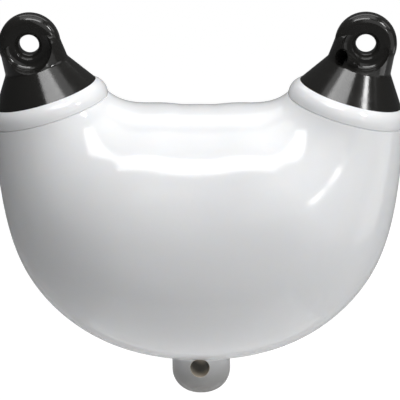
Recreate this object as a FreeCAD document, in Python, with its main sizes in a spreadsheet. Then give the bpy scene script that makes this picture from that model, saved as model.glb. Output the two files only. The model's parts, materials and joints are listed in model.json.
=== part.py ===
# Boarding-step fender: a fat inflatable crescent that hangs from two rope eyes
# and carries a flat foot step on top, between them.
#
# Frame: millimetres, +Z up, hung upright as in use. The origin is the centre of
# the lower rope eye. +X runs along the length, +Y from front to back.
import FreeCAD, Part
import Sketcher
import math
import os
import re

from FreeCAD import Placement, Rotation, Vector

# Driving dimensions, in millimetres and degrees.
SIZES = {
    # The crescent is a row of rings fanned about a point above the step. Each
    # ring is placed by its angle from the middle, and by how far its outer and
    # inner edges lie from that point. The belly's lowest line lies this far over
    # the lower eye's axis.
    "belly_rise": 4.4,
    "belly_outer": 324.1,
    "belly_inner": 49.1,
    "flank_angle": 20.0,
    "flank_outer": 319.1,
    "flank_inner": 52.3,
    "haunch_angle": 40.0,
    "haunch_outer": 290.9,
    "haunch_inner": 62.3,
    # The ring nearest each end keeps its place from that end.
    "hip_angle": 55.6,
    "hip_radius": 85.8,
    "hip_inset": 21.8,
    "hip_fall": 60.7,
    # How much less deep than tall the body is at its middle.
    "body_flattening": 36.0,
    "wall": 5.0,
    # Where the two black ends stand, and how far they lean outward.
    "end_spacing": 321.2,
    "end_height": 294.1,
    "end_lean": 16.3,
    # The bead that closes the body round each end. It swells out from the skirt
    # and is rounded over down to its shoulder. A fine crease lies between it and
    # the body, which stands out a little further.
    "collar_height": 19.0,
    "collar_swell": 8.3,
    "collar_shoulder": 14.5,
    "crease_step": 0.5,
    "crease_width": 1.2,
    "crease_depth": 1.0,
    # The socket in the collar that the end's spigot is bonded into. The skirt's
    # lip covers its edge.
    "skirt_lip": 4.2,
    "socket_depth": 14.0,
    "throat_radius": 30.0,
    # The lower lug, moulded in one with the body, and the solid floor over it.
    "lug_radius": 31.0,
    "lug_drop": 34.6,
    "lug_rounding": 25.0,
    "lug_blend": 3.0,
    "lower_eye_radius": 10.25,
    "floor_radius": 44.0,
    "floor_cover": 10.5,
    # The black ends: a cone skirt, a neck, and a round head with flat faces.
    "skirt_radius": 55.2,
    "skirt_height": 31.6,
    "neck_radius": 34.2,
    "neck_blend": 6.0,
    "head_radius": 32.5,
    "eye_rise": 56.1,
    "face_thickness": 26.0,
    "rim_rounding": 9.0,
    # How far round the top of the head the rounded rim sweeps.
    "shoulder_drop": 5.0,
    "shoulder_rounding": 12.0,
    # The scallops that let a rope in, one in front of the eye and one behind.
    "scallop_inset": 7.0,
    "scallop_rounding": 8.0,
    # The rope eye. It is straight at its middle and flares out to both faces.
    "rope_eye_radius": 10.5,
    "rope_eye_straight": 8.0,
    "flare_radius": 11.5,
    "spigot_clearance": 0.3,
    # The air valve in the right end. Its axis leaves the middle of the neck at
    # this height, turned from the front toward the step, and rises a little.
    # Distances along it are measured from the middle of the neck.
    "valve_height": 27.5,
    "valve_turn": 42.0,
    "valve_rise": 20.0,
    "recess_radius": 8.6,
    "recess_wall": 1.1,
    "recess_floor": 16.0,
    "insert_radius": 6.0,
    "insert_length": 10.0,
    "insert_bore_radius": 3.2,
    "air_way_radius": 2.5,
    "valve_clearance": 0.15,
    "seal_thickness": 1.4,
    "plug_head_radius": 5.2,
    "plug_head_height": 3.0,
    "plug_length": 8.0,
    "slot_width": 1.4,
    "slot_depth": 1.4,
    # How far cutting outlines run out, well past what they cut.
    "cut_reach": 60.0,
}

os.makedirs("parts", exist_ok=True)
doc = FreeCAD.newDocument("StepFender")
sheet = doc.addObject("Spreadsheet::Sheet", "Sizes")
for row, (alias, number) in enumerate(SIZES.items(), start=1):
    sheet.set(f"A{row}", alias)
    sheet.set(f"B{row}", str(number))
    sheet.setAlias(f"B{row}", alias)
doc.recompute()


def formula(text):
    """An expression with each alias in it pointed at the sheet."""
    return re.sub("[a-z_]+", lambda word: f"Sizes.{word[0]}" if word[0] in SIZES else word[0], text)


def worth(text):
    """The number that a formula gives with the sheet's present sizes."""
    return float(sheet.evalExpression(formula(text)))


def bind(thing, **formulas):
    """Bind properties to formulas. Two underscores stand for a dot."""
    for name, text in formulas.items():
        thing.setExpression(name.replace("__", "."), formula(text))


def rule(sketch, kind, edge, end, text):
    """Hold a sketch point across (DistanceX) or up (DistanceY) from the origin."""
    index = sketch.addConstraint(Sketcher.Constraint(kind, -1, 1, edge, end, worth(text)))
    sketch.setExpression(f"Constraints[{index}]", formula(text))


def pin(sketch, edge, end, across, up):
    """Hold a sketch point at two coordinates, each a formula or zero."""
    for kind, axis, text in (("DistanceX", -2, across), ("DistanceY", -1, up)):
        if text == "0":
            sketch.addConstraint(Sketcher.Constraint("PointOnObject", edge, end, axis))
        else:
            rule(sketch, kind, edge, end, text)


def outline(sketch, corners):
    """Draw a closed outline through corners held by formulas.

    A corner is (across, up). With a centre and a turn after that, the edge that
    leaves it is an arc about the centre, and the turn is 1 for anticlockwise.
    """
    spots = [Vector(worth(corner[0]), worth(corner[1]), 0) for corner in corners]
    edges = []
    for index, corner in enumerate(corners):
        start = spots[index]
        stop = spots[(index + 1) % len(spots)]
        if len(corner) == 2:
            edges.append((sketch.addGeometry(Part.LineSegment(start, stop)), 1, 2))
            continue
        centre = Vector(worth(corner[2]), worth(corner[3]), 0)
        turn = corner[4]
        first, last = (start, stop) if turn > 0 else (stop, start)
        circle = Part.Circle(centre, Vector(0, 0, 1), first.distanceToPoint(centre))
        angles = [math.atan2(spot.y - centre.y, spot.x - centre.x) for spot in (first, last)]
        arc = sketch.addGeometry(Part.ArcOfCircle(circle, angles[0], angles[1]))
        edges.append((arc, 1, 2) if turn > 0 else (arc, 2, 1))
    for index, (edge, tail, head) in enumerate(edges):
        following = edges[(index + 1) % len(edges)]
        sketch.addConstraint(Sketcher.Constraint("Coincident", edge, head, following[0], following[1]))
        pin(sketch, edge, tail, corners[index][0], corners[index][1])
        if len(corners[index]) > 2:
            chord = spots[(index + 1) % len(spots)] - spots[index]
            if abs(chord.x) > abs(chord.y):
                rule(sketch, "DistanceY", edge, 3, corners[index][3])
            else:
                rule(sketch, "DistanceX", edge, 3, corners[index][2])


def plane_of(body, role):
    """One of a body's own origin planes, by its role."""
    return next(item for item in body.Origin.OriginFeatures if item.Role == role)


def new_sketch(body, name, role, offset=None):
    """An empty sketch on an origin plane, moved by a placement formula."""
    sketch = body.newObject("Sketcher::SketchObject", name)
    sketch.AttachmentSupport = [(plane_of(body, role), "")]
    sketch.MapMode = "FlatFace"
    if offset:
        bind(sketch, AttachmentOffset=offset)
    return sketch


def turned(body, kind, name, sketch):
    """A solid or a cut turned about the sketch's upright axis."""
    feature = body.newObject(kind, name)
    feature.Profile = sketch
    feature.ReferenceAxis = (sketch, ["V_Axis"])
    feature.Angle = 360
    return feature


def mirrored(body, name, originals, role):
    """The same features again, across one of the body's origin planes."""
    feature = body.newObject("PartDesign::Mirrored", name)
    feature.Originals = originals
    feature.MirrorPlane = (plane_of(body, role), [""])
    body.Tip = feature
    return feature


def rounded(body, name, radius, wanted):
    """Round the edges of the body so far that pass a test."""
    doc.recompute()
    base = body.Tip
    names = [f"Edge{number}" for number, edge in enumerate(base.Shape.Edges, start=1) if wanted(edge)]
    feature = body.newObject("PartDesign::Fillet", name)
    feature.Base = (base, names)
    bind(feature, Radius=radius)
    return feature


def ring(name, turn, reach, half_height, half_depth, centre_x=None, centre_z=None):
    """One ring of the crescent, turned from straight down toward +X."""
    section = doc.addObject("Part::Ellipse", name)
    section.Placement = Placement(Vector(), Rotation(Vector(0, 1, 0), 1))
    bind(section, MajorRadius=half_height, MinorRadius=half_depth)
    bind(section, Placement__Rotation__Angle=f"90 - ({turn})")
    bind(section, Placement__Base__x=centre_x or f"({reach}) * sin({turn})")
    bind(section, Placement__Base__z=centre_z or f"belly_rise + belly_outer - ({reach}) * cos({turn})")
    return section


def fan(name, inset):
    """The crescent's rings from end to end, skinned, with the skin moved in."""
    halves = []
    for side, word in ((-1, "left"), (1, "right")):
        crease = ring(
            f"{name}_{word}_crease",
            f"{side} * (90 - end_lean)",
            "",
            f"skirt_radius + collar_swell + crease_step - {inset}",
            f"skirt_radius + collar_swell + crease_step - {inset}",
            f"{side} * (end_spacing / 2 - collar_height * sin(end_lean))",
            "end_height - collar_height * cos(end_lean)",
        )
        hip = ring(
            f"{name}_{word}_hip",
            f"{side} * hip_angle",
            "",
            f"hip_radius - {inset}",
            f"hip_radius - {inset} - {flattening('hip_angle')}",
            f"{side} * (end_spacing / 2 - hip_inset)",
            "end_height - hip_fall",
        )
        stations = [
            station(f"{name}_{word}_{place}", place, side, inset)
            for place in ("haunch", "flank")
        ]
        halves.append([crease, hip] + stations)
    middle = station(f"{name}_middle", "belly", 0, inset)
    doc.recompute()
    skin = doc.addObject("Part::Feature", name)
    skin.Shape = skinned(halves[0] + [middle] + halves[1][::-1])
    return skin


# How many points of each ring the skin is drawn through, and its degree.
RING_POINTS = 16
SKIN_DEGREE = 3


def skinned(rings):
    """One smooth solid through a row of rings, closed by a flat face at each end.

    A ready-made loft fails on a fan this wide, so the surface is drawn here: a
    closed spline round each ring, and a spline from ring to ring through each
    of their poles.
    """
    shares = [index / RING_POINTS for index in range(RING_POINTS + 1)]
    loops = []
    for item in rings:
        ellipse = item.Shape.Edges[0].Curve
        loop = Part.BSplineCurve()
        loop.interpolate(
            Points=[ellipse.value(2 * math.pi * share) for share in shares[:-1]],
            PeriodicFlag=True,
            Parameters=shares,
        )
        loops.append(loop)
    middles = [item.Placement.Base for item in rings]
    along = [0.0]
    for before, after in zip(middles, middles[1:]):
        along.append(along[-1] + before.distanceToPoint(after))
    ribs = []
    for poles in zip(*(loop.getPoles() for loop in loops)):
        rib = Part.BSplineCurve()
        rib.interpolate(Points=list(poles), Parameters=along)
        ribs.append(rib)
    surface = Part.BSplineSurface()
    surface.buildFromPolesMultsKnots(
        [rib.getPoles() for rib in ribs],
        loops[0].getMultiplicities(), ribs[0].getMultiplicities(),
        loops[0].getKnots(), ribs[0].getKnots(),
        True, False, SKIN_DEGREE, SKIN_DEGREE,
    )
    side = surface.toShape()
    ends = [Part.Face(Part.Wire([edge])) for edge in side.Edges if edge.isClosed()]
    solid = Part.makeSolid(Part.makeShell([side] + ends))
    solid.fix(1e-5, 1e-5, 1e-5)
    return solid


def flattening(turn):
    """How much a ring's half depth falls short. It fades from the middle to the ends."""
    return f"(1 - ({turn}) ^ 2 / (90 - end_lean) ^ 2) * body_flattening / 2"


def station(name, place, side, inset):
    """A ring of the fan, by its angle and the reach of its outer and inner edges."""
    turn = f"{side} * {place}_angle" if side else "0"
    half_height = f"({place}_outer - {place}_inner) / 2 - {inset}"
    return ring(
        name,
        turn,
        f"({place}_outer + {place}_inner) / 2",
        half_height,
        f"{half_height} - {flattening(turn)}",
    )


def body_shell():
    """The white body: crescent, two collars and the lower lug in one moulding."""
    outer_skin = fan("outer_skin", "0")
    inner_skin = fan("inner_skin", "wall")
    lug_floor = doc.addObject("Part::Cylinder", "lug_floor")
    bind(lug_floor, Radius="floor_radius", Height="lug_drop + lower_eye_radius + floor_cover")
    bind(lug_floor, Placement__Base__z="-lug_drop")
    cavity = cut_away("cavity", inner_skin, lug_floor)

    body = doc.addObject("PartDesign::Body", "body_shell")
    body.BaseFeature = cut_away("crescent", outer_skin, cavity)
    doc.recompute()

    on_end = (
        "placement(vector(end_spacing / 2; end_height; 0); rotation(vector(0; 0; 1); -end_lean))"
    )
    side = "skirt_radius + collar_swell"
    bead_rounding = "(collar_swell ^ 2 + collar_shoulder ^ 2) / (2 * collar_swell)"
    bead = new_sketch(body, "collar_outline", "XZ_Plane", on_end)
    outline(bead, [
        ("0", "-collar_height"),
        (f"{side} - crease_depth", "-collar_height"),
        (f"{side} - crease_depth", "crease_width / 2 - collar_height"),
        (side, "crease_width - collar_height"),
        (side, "-collar_shoulder", f"{side} - {bead_rounding}", "-collar_shoulder", 1),
        ("skirt_radius", "0"),
        ("0", "0"),
    ])
    collar = turned(body, "PartDesign::Revolution", "collar", bead)
    mirrored(body, "other_collar", [collar], "YZ_Plane")

    bore = new_sketch(body, "socket_outline", "XZ_Plane", on_end)
    outline(bore, [
        ("0", "0"),
        ("0", "-collar_height - wall"),
        ("throat_radius", "-collar_height - wall"),
        ("throat_radius", "-socket_depth"),
        ("skirt_radius - skirt_lip", "-socket_depth"),
        ("skirt_radius - skirt_lip", "0"),
    ])
    socket = turned(body, "PartDesign::Groove", "socket", bore)
    mirrored(body, "other_socket", [socket], "YZ_Plane")

    drop = new_sketch(body, "lug_outline", "XZ_Plane")
    outline(drop, [
        ("0", "-lug_drop"),
        (
            "lug_radius - lug_rounding", "-lug_drop",
            "lug_radius - lug_rounding", "lug_rounding - lug_drop", 1,
        ),
        ("lug_radius", "lug_rounding - lug_drop"),
        ("lug_radius", "lower_eye_radius"),
        ("0", "lower_eye_radius"),
    ])
    turned(body, "PartDesign::Revolution", "lug", drop)
    rounded(body, "lug_foot", "lug_blend", wraps_lug)

    eye = new_sketch(body, "lower_eye_outline", "XZ_Plane")
    circle(eye, "0", "0", "lower_eye_radius")
    through(body, "lower_eye", eye)
    return body


def wraps_lug(edge):
    """Whether an edge is the seam between the lug's side and the belly."""
    spots = edge.discretize(5)
    on_side = all(abs(math.hypot(spot.x, spot.y) - worth("lug_radius")) < 0.01 for spot in spots)
    return on_side and min(spot.z for spot in spots) > worth("lug_rounding - lug_drop") + 1


def circle(sketch, across, up, radius):
    """A circle in a sketch, with its centre and radius held by formulas."""
    middle = Vector(worth(across), worth(up), 0)
    edge = sketch.addGeometry(Part.Circle(middle, Vector(0, 0, 1), worth(radius)))
    pin(sketch, edge, 3, across, up)
    index = sketch.addConstraint(Sketcher.Constraint("Radius", edge, worth(radius)))
    sketch.setExpression(f"Constraints[{index}]", formula(radius))


def through(body, name, sketch):
    """A hole right through the body, both ways from the sketch."""
    feature = body.newObject("PartDesign::Pocket", name)
    feature.Profile = sketch
    feature.Type = "ThroughAll"
    feature.Midplane = True
    return feature


def blank(name):
    """A black end before its cuts: spigot, cone skirt, round neck and upright disc head."""
    body = doc.addObject("PartDesign::Body", f"{name}_blank")
    profile = new_sketch(body, f"{name}_profile", "XZ_Plane")
    shoulder = "eye_rise - shoulder_drop"
    outline(profile, [
        ("0", "-socket_depth"),
        ("skirt_radius - skirt_lip - spigot_clearance", "-socket_depth"),
        ("skirt_radius - skirt_lip - spigot_clearance", "0"),
        ("skirt_radius", "0"),
        ("neck_radius", "skirt_height"),
        (
            "head_radius", shoulder,
            "head_radius - shoulder_rounding", shoulder, 1,
        ),
        ("head_radius - shoulder_rounding", f"{shoulder} + shoulder_rounding"),
        ("0", f"{shoulder} + shoulder_rounding"),
    ])
    turned(body, "PartDesign::Revolution", f"{name}_moulding", profile)
    rounded(body, f"{name}_neck_foot", "neck_blend", rings_neck)
    turned_at_eye(body, "PartDesign::Revolution", f"{name}_head", [
        ("-face_thickness / 2", "0"),
        (
            "-face_thickness / 2", "head_radius - rim_rounding",
            "rim_rounding - face_thickness / 2", "head_radius - rim_rounding", -1,
        ),
        ("rim_rounding - face_thickness / 2", "head_radius"),
        (
            "face_thickness / 2 - rim_rounding", "head_radius",
            "face_thickness / 2 - rim_rounding", "head_radius - rim_rounding", -1,
        ),
        ("face_thickness / 2", "head_radius - rim_rounding"),
        ("face_thickness / 2", "0"),
    ])
    return body


def rings_neck(edge):
    """Whether an edge runs round the foot of the neck, where the cone begins."""
    return all(
        abs(math.hypot(spot.x, spot.y) - worth("neck_radius")) < 0.01
        and abs(spot.z - worth("skirt_height")) < 0.01
        for spot in edge.discretize(5)
    )


def turned_at_eye(body, kind, name, corners):
    """A solid or a cut turned about the rope eye's axis. A corner is (back, out)."""
    at_eye = "placement(vector(0; eye_rise; 0); rotation(vector(0; 0; 1); 0))"
    sketch = new_sketch(body, f"{name}_outline", "YZ_Plane", at_eye)
    outline(sketch, corners)
    feature = turned(body, kind, name, sketch)
    feature.ReferenceAxis = (sketch, ["H_Axis"])


def scallops(name):
    """The round spaces in front of the eye and behind it, turned about its axis."""
    sketch = doc.addObject("Sketcher::SketchObject", f"{name}_scallops_outline")
    sketch.Placement = Placement(Vector(), Rotation(Vector(1, 1, 1), 120))
    bind(sketch, Placement__Base__z="eye_rise")
    wall = "(head_radius - scallop_inset)"
    for sign, turn in (("-", 1), ("", -1)):
        outline(sketch, [
            (f"{sign}face_thickness / 2", "0"),
            (
                f"{sign}face_thickness / 2", f"{wall} - scallop_rounding",
                f"{sign}(face_thickness / 2 + scallop_rounding)", f"{wall} - scallop_rounding", turn,
            ),
            (f"{sign}(face_thickness / 2 + scallop_rounding)", wall),
            (f"{sign}cut_reach", wall),
            (f"{sign}cut_reach", "0"),
        ])
    spaces = doc.addObject("Part::Revolution", f"{name}_scallops")
    spaces.Source = sketch
    spaces.Axis = Vector(0, 1, 0)
    spaces.Angle = 360
    spaces.Solid = True
    bind(spaces, Base__z="eye_rise")
    return spaces


def rope_eye(body, name):
    """The eye through the head, with a rounded flare to each face."""
    half_straight = "rope_eye_straight / 2"
    centre = "rope_eye_radius + flare_radius"
    flare_depth = "((face_thickness - rope_eye_straight) / 2)"
    mouth = f"{centre} - sqrt(flare_radius ^ 2 - {flare_depth} ^ 2)"
    turned_at_eye(body, "PartDesign::Groove", f"{name}_rope_eye", [
        ("-face_thickness / 2", "0"),
        ("face_thickness / 2", "0"),
        ("face_thickness / 2", mouth, half_straight, centre, -1),
        (half_straight, "rope_eye_radius"),
        (f"-{half_straight}", "rope_eye_radius", f"-{half_straight}", centre, -1),
        ("-face_thickness / 2", mouth),
    ])


def cut_away(name, base, tool):
    """One solid less another."""
    rest = doc.addObject("Part::Cut", name)
    rest.Base = base
    rest.Tool = tool
    return rest


def eye_end(name, side):
    """A black end, upright on its skirt, then leaned outward on its collar."""
    spaces = scallops(name)
    if side > 0:
        spaces = cut_away("scallops_beside_valve", spaces, valve_boss())
    shaped = cut_away(f"{name}_shaped", blank(name), spaces)
    body = doc.addObject("PartDesign::Body", name)
    body.BaseFeature = shaped
    doc.recompute()
    rope_eye(body, name)
    if side > 0:
        valve_ways(body)

    body.Placement = Placement(Vector(), Rotation(Vector(0, side, 0), 1))
    bind(body, Placement__Rotation__Angle="end_lean")
    bind(body, Placement__Base__x=f"{side} * end_spacing / 2", Placement__Base__z="end_height")
    return body


def along_valve(turned_up):
    """A placement at the foot of the valve's axis, for a thing turned up to lie on it."""
    lie = f"rotation(vector(0; 0; 1); -valve_turn) * rotation(vector(1; 0; 0); {turned_up})"
    return f"placement(vector(0; 0; valve_height); {lie})"


def valve_boss():
    """The wall round the valve's recess, which the scallop leaves standing."""
    boss = doc.addObject("Part::Cylinder", "valve_boss")
    bind(boss, Radius="recess_radius + recess_wall", Height="cut_reach")
    bind(boss, Placement=along_valve("90 - valve_rise"))
    return boss


def valve_ways(body):
    """The valve's recess, the seat of its insert, and the way to the air space."""
    steps = new_sketch(body, "valve_steps", "XY_Plane", along_valve("180 - valve_rise"))
    outline(steps, [
        ("0", "0"),
        ("air_way_radius", "0"),
        ("air_way_radius", "recess_floor - insert_length"),
        ("insert_radius + valve_clearance", "recess_floor - insert_length"),
        ("insert_radius + valve_clearance", "recess_floor"),
        ("recess_radius", "recess_floor"),
        ("recess_radius", "cut_reach"),
        ("0", "cut_reach"),
    ])
    turned(body, "PartDesign::Groove", "valve_recess", steps)
    drill = new_sketch(body, "air_way_outline", "XZ_Plane")
    outline(drill, [
        ("0", "-socket_depth"),
        ("air_way_radius", "-socket_depth"),
        ("air_way_radius", "valve_height"),
        ("0", "valve_height"),
    ])
    turned(body, "PartDesign::Groove", "air_way", drill)


def valve_piece(name, seat, corners):
    """A turned piece of the valve, its foot this far out along the valve's axis."""
    body = doc.addObject("PartDesign::Body", name)
    profile = new_sketch(body, f"{name}_profile", "XZ_Plane")
    outline(profile, corners)
    turned(body, "PartDesign::Revolution", f"{name}_turning", profile)
    end = "placement(vector(end_spacing / 2; 0; end_height); rotation(vector(0; 1; 0); end_lean))"
    lift = f"placement(vector(0; 0; {seat}); rotation(vector(0; 0; 1); 0))"
    bind(body, Placement=f"{end} * {along_valve('90 - valve_rise')} * {lift}")
    return body


def valve_insert():
    """The bush that the plug screws into."""
    return valve_piece("valve_insert", "recess_floor - insert_length", [
        ("insert_bore_radius", "0"),
        ("insert_radius", "0"),
        ("insert_radius", "insert_length"),
        ("insert_bore_radius", "insert_length"),
    ])


def valve_seal():
    """The flat ring under the plug's head."""
    return valve_piece("valve_seal", "recess_floor", [
        ("insert_bore_radius", "0"),
        ("plug_head_radius", "0"),
        ("plug_head_radius", "seal_thickness"),
        ("insert_bore_radius", "seal_thickness"),
    ])


def valve_plug():
    """The slotted plug. Its foot is the underside of its head."""
    body = valve_piece("valve_plug", "recess_floor + seal_thickness", [
        ("0", "-plug_length"),
        ("insert_bore_radius - valve_clearance", "-plug_length"),
        ("insert_bore_radius - valve_clearance", "0"),
        ("plug_head_radius", "0"),
        ("plug_head_radius", "plug_head_height"),
        ("0", "plug_head_height"),
    ])
    on_head = "placement(vector(0; 0; plug_head_height); rotation(vector(0; 0; 1); 0))"
    slot = new_sketch(body, "slot_outline", "XY_Plane", on_head)
    outline(slot, [
        ("-2 * plug_head_radius", "-slot_width / 2"),
        ("2 * plug_head_radius", "-slot_width / 2"),
        ("2 * plug_head_radius", "slot_width / 2"),
        ("-2 * plug_head_radius", "slot_width / 2"),
    ])
    groove = body.newObject("PartDesign::Pocket", "slot")
    groove.Profile = slot
    bind(groove, Length="slot_depth")
    return body


nodes = [
    body_shell(),
    eye_end("left_eye_end", -1),
    eye_end("right_eye_end", 1),
    valve_insert(),
    valve_seal(),
    valve_plug(),
]
doc.recompute()

for item in doc.Objects:
    if "Invalid" in item.State or "Error" in item.State:
        raise RuntimeError(f"{item.Name} did not build: {item.State}")
for node in nodes:
    if node.Shape.isNull() or not node.Shape.isValid():
        raise RuntimeError(f"{node.Label} is not a valid shape")
for node in nodes:
    node.Shape.exportStep(f"parts/{node.Label}.step")
    box = node.Shape.BoundBox
    print(node.Label, len(node.Shape.Solids), round(node.Shape.Volume / 1000, 2), "cm3", box)
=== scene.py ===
import json
import math

import bpy
from mathutils import Matrix, Vector


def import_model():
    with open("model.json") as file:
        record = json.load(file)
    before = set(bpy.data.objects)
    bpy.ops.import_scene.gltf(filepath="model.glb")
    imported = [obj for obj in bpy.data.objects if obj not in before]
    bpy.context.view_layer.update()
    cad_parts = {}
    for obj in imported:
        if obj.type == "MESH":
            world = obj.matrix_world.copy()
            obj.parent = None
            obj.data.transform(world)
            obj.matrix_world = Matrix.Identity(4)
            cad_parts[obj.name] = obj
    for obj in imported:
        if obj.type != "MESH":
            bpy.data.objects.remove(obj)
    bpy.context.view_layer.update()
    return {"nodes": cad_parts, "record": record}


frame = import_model()

# PVC, hard plastic and rubber all bend light by about this much.
REFRACTION = 1.5

# The lamps stand round this point in the object's middle, in metres.
MIDDLE = Vector((0.0, 0.0, 0.17))

# Each lamp's azimuth and elevation in degrees, its distance, width and height
# in metres, and the brightness of its face.
LAMPS = {
    # The bright crescent on the upper front, and the bands on the black cones.
    "key": (-2.0, 62.0, 1.3, 0.74, 0.36, 7.4),
    "high": (0.0, 84.0, 2.2, 2.2, 1.6, 1.45),
    "back_top": (180.0, 55.0, 1.8, 1.8, 0.8, 1.4),
    "right_high": (92.0, 38.0, 1.8, 0.8, 0.7, 1.2),
    "right_level": (92.0, -16.0, 1.7, 0.7, 0.4, 1.4),
    "right_front": (60.0, 2.0, 2.2, 2.0, 1.4, 0.62),
    "front": (22.0, 27.0, 3.0, 2.3, 1.9, 0.7),
    "under": (0.0, -85.0, 0.7, 0.9, 0.9, 0.5),
    # The white stripe on the right cone, and the streak on the right haunch.
    "stripe": (57.5, 38.0, 1.8, 0.22, 0.4, 24.0),
    "spot": (41.0, 18.0, 1.77, 0.16, 0.12, 13.0),
    # Fills the back softly, and shows in no reflection.
    "rear": (178.0, 24.0, 3.0, 2.4, 1.9, 0.5),
}


class Nodes:
    """Short calls for building one material's nodes."""

    def __init__(self, tree):
        self.tree = tree
        tree.nodes.clear()

    def add(self, kind, **inputs):
        """A node, with its inputs set to numbers or linked to other sockets."""
        node = self.tree.nodes.new(kind)
        for name, given in inputs.items():
            self.feed(node.inputs[name.replace("_", " ")], given)
        return node

    def feed(self, socket, given):
        if isinstance(given, bpy.types.NodeSocket):
            self.tree.links.new(given, socket)
        else:
            socket.default_value = given

    def place(self):
        """The point on the surface in the object's frame, in metres."""
        return self.add("ShaderNodeTexCoord").outputs["Object"]

    def noise(self, at, scale, detail, roughness=0.5):
        node = self.add(
            "ShaderNodeTexNoise", Vector=at, Scale=scale, Detail=detail, Roughness=roughness
        )
        return node.outputs["Fac"]

    def scuffs(self, at, scale):
        """Sparse marks: a share of 0 on most of the surface, up to 1 in a mark."""
        return self.spread(self.noise(at, scale, 6.0, 0.65), 0.0, 1.0, 0.5, 0.75)

    def spread(self, share, low, high, start=0.0, stop=1.0):
        """A share between start and stop, mapped to low and high."""
        node = self.add("ShaderNodeMapRange", Value=share)
        node.inputs["From Min"].default_value = start
        node.inputs["From Max"].default_value = stop
        node.inputs["To Min"].default_value = low
        node.inputs["To Max"].default_value = high
        return node.outputs["Result"]

    def work_out(self, kind, first, second=0.0):
        """One step of arithmetic, such as ADD or MULTIPLY."""
        node = self.add("ShaderNodeMath")
        node.operation = kind
        self.feed(node.inputs[0], first)
        self.feed(node.inputs[1], second)
        return node.outputs["Value"]

    def blend(self, share, first, second):
        """A colour between two, by a share."""
        node = self.add("ShaderNodeMix")
        node.data_type = "RGBA"
        self.feed(node.inputs["Factor"], share)
        self.feed(node.inputs[6], first)
        self.feed(node.inputs[7], second)
        return node.outputs[2]

    def bump(self, height, distance, normal=None):
        """Small relief, this many metres deep, on top of any relief before it."""
        node = self.add("ShaderNodeBump", Height=height, Distance=distance, Strength=1.0)
        if normal:
            self.feed(node.inputs["Normal"], normal)
        return node.outputs["Normal"]

    def close(self, shader):
        end = self.add("ShaderNodeOutputMaterial")
        self.tree.links.new(shader, end.inputs["Surface"])


def material(name):
    made = bpy.data.materials.new(name)
    made.use_nodes = True
    return made, Nodes(made.node_tree)


def finish_surface(nodes, colour, roughness, normal, **fixed):
    """The one shader of a material, and the material's end."""
    shader = nodes.add(
        "ShaderNodeBsdfPrincipled",
        Base_Color=colour, Roughness=roughness, Normal=normal, IOR=REFRACTION, **fixed,
    )
    nodes.close(shader.outputs["BSDF"])


def white_pvc():
    """Glossy white skin, with a slight swell, a fine peel and faint handling marks.

    Painted shade greys it towards the foot of the lug, and painted shade darkens the lower
    eye's wall with depth, lighter and brown-tinted near the mouth.
    """
    made, nodes = material("white_pvc")
    at = nodes.place()
    spot = nodes.add("ShaderNodeSeparateXYZ", Vector=at).outputs
    base_white = nodes.blend(
        nodes.noise(at, 9.0, 4.0),
        (0.835, 0.842, 0.86, 1.0),
        (0.875, 0.88, 0.885, 1.0),
    )

    # Painted shade: the skin greys towards the lug's foot, fading upward with an uneven
    # edge.
    foot, unshaded_above = -0.036, 0.014
    uneven = nodes.spread(nodes.noise(at, 35.0, 4.0), -0.004, 0.004)
    height = nodes.work_out("ADD", spot["Z"], uneven)
    painted_foot_shade = nodes.spread(height, 1.0, 0.0, foot, unshaded_above)
    # Painted shade colour: dark brownish grey at the lug's foot.
    shaded_outside = nodes.blend(painted_foot_shade, base_white, (0.095, 0.085, 0.070, 1.0))

    # The lower eye runs along Y through the origin. Its wall gets painted shade, darker
    # deep in and lighter, brown-tinted towards the mouth.
    eye_wall, eye_shade_end = 0.0103, 0.0107
    deep, mouth = 0.008, 0.030
    off_axis = nodes.work_out(
        "ADD",
        nodes.work_out("MULTIPLY", spot["X"], spot["X"]),
        nodes.work_out("MULTIPLY", spot["Z"], spot["Z"]),
    )
    in_eye = nodes.spread(off_axis, 1.0, 0.0, eye_wall ** 2, eye_shade_end ** 2)
    near_mouth = nodes.spread(nodes.work_out("ABSOLUTE", spot["Y"]), 0.0, 1.0, deep, mouth)
    # Painted shade inside the lower eye: dark deep in, lighter brown near the mouth.
    painted_eye_shade = nodes.blend(near_mouth, (0.40, 0.38, 0.33, 1.0), (0.90, 0.82, 0.70, 1.0))

    swell = nodes.bump(nodes.noise(at, 14.0, 2.0), 0.0007)
    finish_surface(
        nodes,
        nodes.blend(in_eye, shaded_outside, painted_eye_shade),
        nodes.spread(nodes.scuffs(at, 60.0), 0.11, 0.2),
        nodes.bump(nodes.noise(at, 420.0, 2.0), 0.00003, swell),
        Subsurface_Weight=0.3, Subsurface_Radius=(1.0, 0.85, 0.7), Subsurface_Scale=0.004,
    )
    return made


def black_pvc():
    """Glossy black moulding with a very slight swell, a fine peel and faint marks."""
    made, nodes = material("black_pvc")
    at = nodes.place()
    swell = nodes.bump(nodes.noise(at, 40.0, 2.0), 0.00008)
    finish_surface(
        nodes,
        nodes.blend(
            nodes.noise(at, 30.0, 4.0),
            (0.0125, 0.0121, 0.0112, 1.0),
            (0.0170, 0.0164, 0.0152, 1.0),
        ),
        nodes.spread(nodes.scuffs(at, 90.0), 0.14, 0.22),
        nodes.bump(nodes.noise(at, 600.0, 2.0), 0.00002, swell),
    )
    return made


def valve_plastic():
    """Satin black plastic with a fine grain."""
    made, nodes = material("valve_plastic")
    at = nodes.place()
    finish_surface(
        nodes,
        nodes.blend(
            nodes.noise(at, 120.0, 4.0),
            (0.02, 0.02, 0.02, 1.0),
            (0.035, 0.035, 0.035, 1.0),
        ),
        nodes.spread(nodes.noise(at, 300.0, 4.0), 0.35, 0.5),
        nodes.bump(nodes.noise(at, 1500.0, 3.0), 0.00004),
    )
    return made


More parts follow.
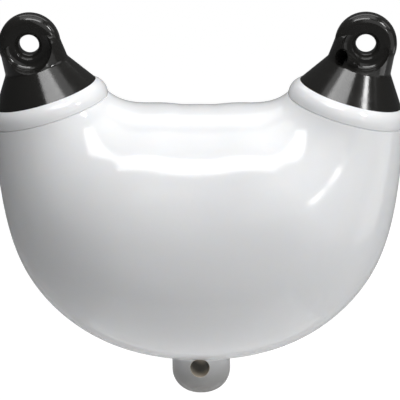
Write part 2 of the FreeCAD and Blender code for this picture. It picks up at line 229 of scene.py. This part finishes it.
def seal_rubber():
    """Matt black rubber."""
    made, nodes = material("seal_rubber")
    at = nodes.place()
    finish_surface(
        nodes,
        nodes.blend(
            nodes.noise(at, 200.0, 4.0),
            (0.014, 0.014, 0.014, 1.0),
            (0.024, 0.024, 0.024, 1.0),
        ),
        nodes.spread(nodes.noise(at, 500.0, 4.0), 0.6, 0.75),
        nodes.bump(nodes.noise(at, 2200.0, 3.0), 0.00005),
    )
    return made


def dress():
    """Give each node the material of its slot."""
    makers = {
        "white_pvc": white_pvc,
        "black_pvc": black_pvc,
        "valve_plastic": valve_plastic,
        "seal_rubber": seal_rubber,
    }
    made = {slot: make() for slot, make in makers.items()}
    for part in frame["record"]["subparts"]:
        node = frame["nodes"][part["node"]]
        node.data.materials.clear()
        node.data.materials.append(made[part["material_slot"]])


def floor_sheet():
    """A square floor well below the object, as a flat grid in mesh code."""
    side, height, steps = 30.0, -0.6, 8
    mesh = bpy.data.meshes.new("floor")
    spots = [
        (side * (column / steps - 0.5), side * (row / steps - 0.5), height)
        for row in range(steps + 1)
        for column in range(steps + 1)
    ]
    faces = []
    for row in range(steps):
        for column in range(steps):
            corner = row * (steps + 1) + column
            faces.append((corner, corner + 1, corner + steps + 2, corner + steps + 1))
    mesh.from_pydata(spots, [], faces)
    mesh.update()
    mesh.materials.append(floor_white())
    made = bpy.data.objects.new("floor", mesh)
    bpy.context.scene.collection.objects.link(made)
    return made


def floor_white():
    """A pale floor that the camera sees as white."""
    shown_white = 0.75
    made, nodes = material("floor_white")
    matt = nodes.add("ShaderNodeBsdfDiffuse", Color=(0.8, 0.8, 0.8, 1.0))
    glow = nodes.add("ShaderNodeEmission", Color=(1.0, 1.0, 1.0, 1.0), Strength=1.3)
    path = nodes.add("ShaderNodeLightPath")
    share = nodes.work_out("MULTIPLY", path.outputs["Is Camera Ray"], shown_white)
    mixed = nodes.add("ShaderNodeMixShader", Fac=share)
    nodes.feed(mixed.inputs[1], matt.outputs["BSDF"])
    nodes.feed(mixed.inputs[2], glow.outputs["Emission"])
    nodes.close(mixed.outputs["Shader"])
    return made


def world():
    """Plain studio air: white to the camera, and dark grey to the object."""
    studio = bpy.data.worlds.new("studio")
    studio.use_nodes = True
    bpy.context.scene.world = studio
    nodes = Nodes(studio.node_tree)
    path = nodes.add("ShaderNodeLightPath")
    way = nodes.add("ShaderNodeTexCoord").outputs["Generated"]
    up = nodes.add("ShaderNodeSeparateXYZ", Vector=way).outputs["Z"]
    level = nodes.spread(up, 0.06, 0.1, -0.2, 1.0)
    seen = nodes.add("ShaderNodeBackground", Color=(1.0, 1.0, 1.0, 1.0), Strength=1.0)
    air = nodes.add("ShaderNodeBackground", Color=(0.96, 0.98, 1.0, 1.0), Strength=level)
    mixed = nodes.add("ShaderNodeMixShader", Fac=path.outputs["Is Camera Ray"])
    nodes.feed(mixed.inputs[1], air.outputs["Background"])
    nodes.feed(mixed.inputs[2], seen.outputs["Background"])
    end = nodes.add("ShaderNodeOutputWorld")
    nodes.feed(end.inputs["Surface"], mixed.outputs["Shader"])


def toward(azimuth, elevation):
    """A direction from the object. Azimuth 0 is the front, and +90 is +X."""
    turn, rise = math.radians(azimuth), math.radians(elevation)
    level = math.cos(rise)
    return Vector((math.sin(turn) * level, -math.cos(turn) * level, math.sin(rise)))


def softbox(name, azimuth, elevation, distance, width, height, glow):
    """A rectangular lamp that faces the object."""
    data = bpy.data.lights.new(name, "AREA")
    data.shape = "RECTANGLE"
    data.size = width
    data.size_y = height
    data.energy = glow * math.pi * width * height
    lamp = bpy.data.objects.new(name, data)
    bpy.context.scene.collection.objects.link(lamp)
    lamp.location = MIDDLE + toward(azimuth, elevation) * distance
    lamp.rotation_mode = "QUATERNION"
    lamp.rotation_quaternion = (MIDDLE - lamp.location).to_track_quat("-Z", "Y")
    return lamp


def camera():
    """A long lens a little above the step, slightly to the right."""
    look = Vector((0.0009, 0.0, 0.1775))
    azimuth, elevation, distance, roll = 2.78, 15.66, 3.536, -0.71
    data = bpy.data.cameras.new("camera")
    data.sensor_width = 36.0
    data.lens = 300.0
    made = bpy.data.objects.new("camera", data)
    bpy.context.scene.collection.objects.link(made)
    back = toward(azimuth, elevation)
    stand = Matrix.Translation(look + back * distance)
    facing = (-back).to_track_quat("-Z", "Y").to_matrix().to_4x4()
    made.matrix_world = stand @ facing @ Matrix.Rotation(math.radians(roll), 4, "Z")
    bpy.context.scene.camera = made


dress()
floor = floor_sheet()
world()
lamps = {name: softbox(name, *numbers) for name, numbers in LAMPS.items()}
lamps["rear"].visible_glossy = False
camera()
bpy.context.scene.view_settings.view_transform = "Standard"
